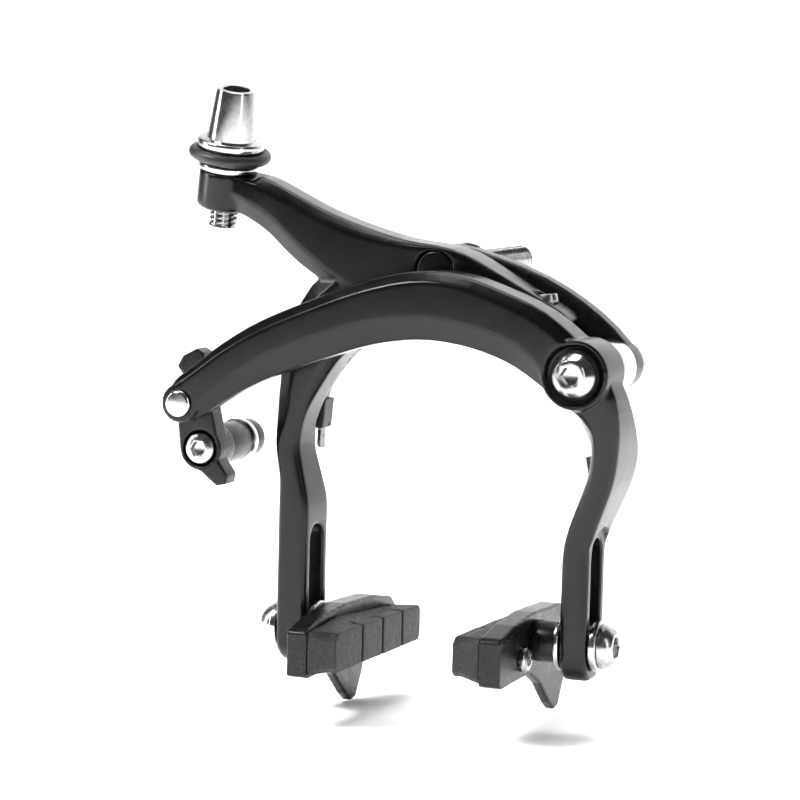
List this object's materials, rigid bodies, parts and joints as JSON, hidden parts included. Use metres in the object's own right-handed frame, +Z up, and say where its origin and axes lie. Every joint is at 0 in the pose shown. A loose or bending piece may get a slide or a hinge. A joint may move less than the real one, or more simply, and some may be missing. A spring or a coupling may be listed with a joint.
{
  "type": "rim brake caliper",
  "caption": "Dual-pivot rim brake caliper with two black arms, slotted legs, adjustable pad shoes, barrel adjuster and quick-release cable anchor.",
  "frame": {"origin": "on the centre bolt's axis, in the plane where the seat washer meets the fork or brake bridge", "axes": "+X to the right seen from the front of the brake, +Y back along the centre bolt into the frame, +Z up, away from the wheel"},
  "size_m": [0.0959, 0.0644, 0.1248],
  "materials": {
    "forged_black": "satin black anodised",
    "polished_steel": "polished",
    "black_plastic": "matte",
    "black_alloy": "semi-gloss black",
    "rubber": "matte",
    "bronze": "plain",
    "spring_steel": "bright wire"
  },
  "bodies": {
    "frame_side": {"pivot_bracket": "black_alloy", "centre_bolt": "polished_steel", "centre_thrust_washer": "bronze", "rear_thrust_washer": "polished_steel", "seat_washer": "polished_steel", "side_pivot_bolt": "polished_steel", "side_pivot_washer": "polished_steel", "side_pivot_sleeve": "polished_steel", "side_pivot_nut": "polished_steel", "return_spring": "spring_steel"},
    "y_arm_body": {"y_arm": "forged_black", "y_arm_bush": "bronze", "centre_dust_cap": "black_plastic", "centring_screw": "polished_steel", "left_spring_shoe": "black_plastic"},
    "c_arm_body": {"c_arm": "forged_black", "c_arm_bush": "bronze", "quick_release_pin": "polished_steel", "right_spring_shoe": "black_plastic"},
    "cable_anchor": {"quick_release_lever": "black_alloy", "pinch_bolt": "polished_steel", "anchor_barrel": "black_alloy", "cable_clamp_washer": "polished_steel", "pinch_nut": "black_alloy"},
    "adjuster_carrier": {"adjuster_detent_ring": "polished_steel"},
    "adjuster": {"adjuster_barrel": "polished_steel", "adjuster_rubber_ring": "rubber"},
    "left_pad_mount": {"left_pad_bolt": "polished_steel", "left_outer_washer": "polished_steel", "left_cup_washer": "polished_steel", "left_pad_spacer": "black_alloy"},
    "left_pad": {"left_pad_shoe": "black_alloy", "left_pad_insert": "rubber", "left_pad_screw": "polished_steel"},
    "right_pad_mount": {"right_pad_bolt": "polished_steel", "right_outer_washer": "polished_steel", "right_cup_washer": "polished_steel", "right_pad_spacer": "black_alloy"},
    "right_pad": {"right_pad_shoe": "black_alloy", "right_pad_insert": "rubber", "right_pad_screw": "polished_steel"}
  },
  "joints": [
    {"name": "y_arm_pivot", "type": "hinge", "parent": "frame_side", "child": "y_arm_body", "pos_m": [0, -0.012, 0], "axis": [0, -1, 0], "range_deg": [0, 7], "stiffness_Nm_per_rad": 0.6, "springref_deg": -22.92, "deforming": ["return_spring"]},
    {"name": "c_arm_pivot", "type": "hinge", "parent": "frame_side", "child": "c_arm_body", "pos_m": [0.0333, -0.012, -0.0177], "axis": [0, 1, 0], "range_deg": [0, 9.6], "stiffness_Nm_per_rad": 0.4, "springref_deg": -22.92, "deforming": ["return_spring"]},
    {"name": "quick_release_hinge", "type": "hinge", "parent": "c_arm_body", "child": "cable_anchor", "pos_m": [-0.0487, -0.021, -0.028], "axis": [0, 1, 0], "range_deg": [0, 45]},
    {"name": "adjuster_lift", "type": "slide", "parent": "y_arm_body", "child": "adjuster_carrier", "axis": [0.1651, -0.1651, 0.9724], "range_m": [0, 0.006]},
    {"name": "adjuster_turn", "type": "hinge", "parent": "adjuster_carrier", "child": "adjuster", "pos_m": [-0.047, -0.0134, 0.0179], "axis": [0.1651, -0.1651, 0.9724], "range_deg": [0, 2160]},
    {"name": "left_pad_slide", "type": "slide", "parent": "y_arm_body", "child": "left_pad_mount", "axis": [0, 0, 1], "range_m": [0, 0.018]},
    {"name": "left_pad_tilt", "type": "hinge", "parent": "left_pad_mount", "child": "left_pad", "pos_m": [-0.0236, -0.0123, -0.0738], "axis": [1, 0, 0], "range_deg": [-8, 8]},
    {"name": "right_pad_slide", "type": "slide", "parent": "c_arm_body", "child": "right_pad_mount", "axis": [0, 0, 1], "range_m": [0, 0.018]},
    {"name": "right_pad_tilt", "type": "hinge", "parent": "right_pad_mount", "child": "right_pad", "pos_m": [0.0209, -0.0123, -0.072], "axis": [1, 0, 0], "range_deg": [-8, 8]}
  ],
  "couplings": [
    {"joint": "c_arm_pivot", "follows": "y_arm_pivot", "ratio": 1.36},
    {"joint": "adjuster_turn", "follows": "adjuster_lift", "rad_per_m": 6283}
  ]
}
